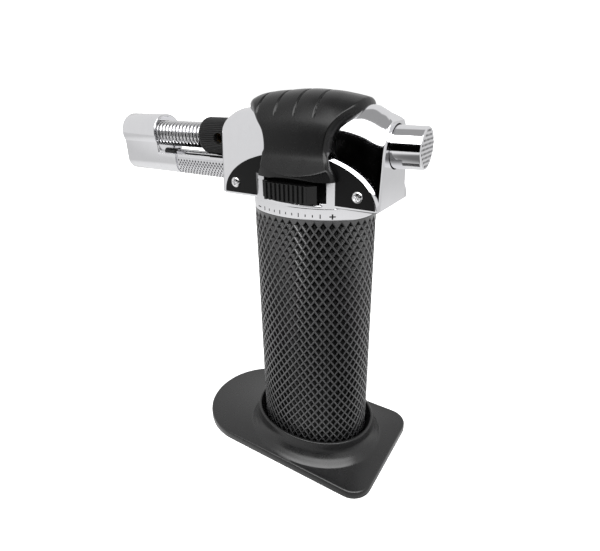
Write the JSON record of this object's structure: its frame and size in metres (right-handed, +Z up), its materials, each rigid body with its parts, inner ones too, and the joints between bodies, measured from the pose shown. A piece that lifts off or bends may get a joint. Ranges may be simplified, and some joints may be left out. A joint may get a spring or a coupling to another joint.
{
  "type": "butane torch",
  "caption": "Table-top butane torch: oval diamond-grip handle in a removable stand, plated head with coil-wrapped burner, sliding nozzle guard, air ring, flame slider and rear ignition button.",
  "frame": {"origin": "on the stand's flat underside, on the handle's centre line", "axes": "+Z up along the handle; -X the way the burner points; +X the ignition button; the flame slider is on the -Y side"},
  "size_m": [0.145, 0.0566, 0.1584],
  "materials": {
    "stand_plastic": "fine-textured charcoal",
    "grip_plastic": "black with a raised diamond net and sunk diamonds",
    "soft_grip": "semi-gloss soft touch",
    "panel_plastic": "satin black",
    "slider_plastic": "ribbed black",
    "ring_plastic": "black, ribbed lengthways",
    "chrome": "bright plated",
    "chrome_knurl": "bright plated, knurled",
    "screw_steel": "bright zinc",
    "spring_steel": "drawn wire",
    "burner_steel": "heat-darkened",
    "coil_steel": "polished wire",
    "brass": "turned",
    "tank_nylon": "natural nylon",
    "inner_plastic": "moulded",
    "white_plastic": "moulded acetal",
    "seal_rubber": "moulded",
    "hose_rubber": "smooth",
    "lead_insulation": "smooth",
    "black_ceramic": "glazed"
  },
  "bodies": {
    "stand": {"stand": "stand_plastic"},
    "torch": {"base_cap": "inner_plastic", "grip_sleeve": "grip_plastic", "fuel_tank": "tank_nylon", "tank_cap": "tank_nylon", "fill_valve_body": "brass", "fill_valve_spring": "spring_steel", "outlet_valve_body": "brass", "outlet_valve_spring": "spring_steel", "gas_hose": "hose_rubber", "neck_collar": "chrome", "neck_screws": "screw_steel", "head_housing": "chrome", "cheek_panel_left": "panel_plastic", "cheek_panel_right": "panel_plastic", "cheek_screws": "screw_steel", "saddle_grip": "soft_grip", "button_spring": "spring_steel", "piezo_igniter": "inner_plastic", "piezo_cradle": "inner_plastic", "ignition_lead": "lead_insulation", "electrode_rod": "coil_steel", "electrode_insulator": "black_ceramic", "electrode_tip": "coil_steel", "jet_holder": "brass", "burner_base": "brass", "burner_tube": "burner_steel", "flame_holder": "burner_steel", "burner_coil": "coil_steel"},
    "fill_stem": {"fill_valve_stem": "brass", "fill_valve_seal": "seal_rubber"},
    "outlet_stem": {"outlet_valve_stem": "brass", "outlet_valve_seal": "seal_rubber"},
    "regulator": {"regulator_wheel": "white_plastic"},
    "slider": {"flame_slider": "slider_plastic"},
    "button": {"ignition_button": "chrome", "valve_cam": "inner_plastic", "piezo_plunger": "white_plastic"},
    "air_ring": {"air_ring": "ring_plastic"},
    "guard": {"nozzle_guard": "chrome", "guard_thumb_grip": "chrome_knurl"}
  },
  "joints": [
    {"name": "stand_lift_off", "type": "slide", "parent": "stand", "child": "torch", "axis": [0, 0, 1], "range_m": [0, 0.03]},
    {"name": "button_press", "type": "slide", "parent": "torch", "child": "button", "axis": [-1, 0, 0], "range_m": [0, 0.004], "stiffness_N_per_m": 1500, "springref_m": -0.001, "deforming": ["button_spring"]},
    {"name": "outlet_valve_lift", "type": "slide", "parent": "torch", "child": "outlet_stem", "axis": [0, 0, 1], "range_m": [0, 0.0016], "deforming": ["outlet_valve_spring"]},
    {"name": "fill_valve_press", "type": "slide", "parent": "torch", "child": "fill_stem", "axis": [0, 0, 1], "range_m": [0, 0.0015], "stiffness_N_per_m": 500, "springref_m": -0.001, "deforming": ["fill_valve_spring"]},
    {"name": "flame_adjust", "type": "slide", "parent": "torch", "child": "slider", "axis": [1, 0, 0], "range_m": [0, 0.0032]},
    {"name": "regulator_turn", "type": "hinge", "parent": "torch", "child": "regulator", "pos_m": [0, 0, 0.123], "axis": [0, 0, 1], "range_deg": [0, 31]},
    {"name": "air_ring_turn", "type": "hinge", "parent": "torch", "child": "air_ring", "pos_m": [-0.045, 0, 0.14], "axis": [1, 0, 0], "range_deg": [-45, 45]},
    {"name": "guard_slide", "type": "slide", "parent": "torch", "child": "guard", "axis": [1, 0, 0], "range_m": [0, 0.014]}
  ],
  "couplings": [
    {"joint": "outlet_valve_lift", "follows": "button_press", "ratio": 0.4},
    {"joint": "regulator_turn", "follows": "flame_adjust", "rad_per_m": 166.67}
  ]
}
